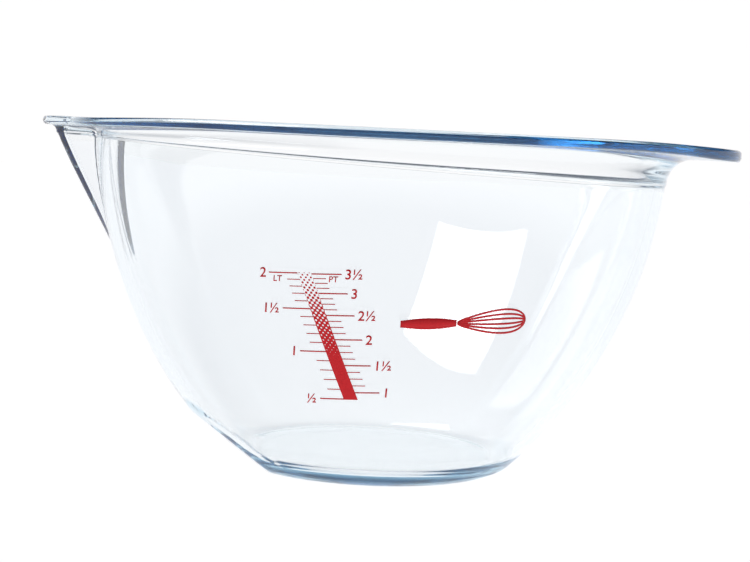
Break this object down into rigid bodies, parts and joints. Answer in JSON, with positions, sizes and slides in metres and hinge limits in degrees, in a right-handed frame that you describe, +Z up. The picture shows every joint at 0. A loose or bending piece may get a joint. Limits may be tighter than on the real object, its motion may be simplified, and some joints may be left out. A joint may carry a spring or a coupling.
{
  "type": "mixing bowl",
  "caption": "Clear pressed-glass mixing bowl with a pouring spout, a broad handle flange, a tilt face on the base and red enamel measuring marks.",
  "frame": {"origin": "centre of the flat resting face under the bowl, on the axis of the turned body", "axes": "+Z up out of the mouth, +X towards the handle, -X towards the pouring spout, -Y out of the wall that carries the measuring marks"},
  "size_m": [0.2913, 0.2614, 0.142],
  "materials": {
    "glass": "clear pressed soda-lime glass, fire polished, faintly blue in thick places",
    "enamel": "thin fired red screen print, slightly glossy"
  },
  "bodies": {
    "root": {"glass_bowl": "glass", "litres_0_half": "enamel", "litres_1": "enamel", "litres_1_half": "enamel", "litres_1_whole": "enamel", "litres_2": "enamel", "pints_1": "enamel", "pints_1_half": "enamel", "pints_1_whole": "enamel", "pints_2": "enamel", "pints_2_half": "enamel", "pints_2_whole": "enamel", "pints_3": "enamel", "pints_3_half": "enamel", "pints_3_whole": "enamel", "scale_bar": "enamel", "unit_litre": "enamel", "unit_pint_p": "enamel", "unit_pint_t": "enamel", "whisk_emblem": "enamel"}
  },
  "joints": []
}
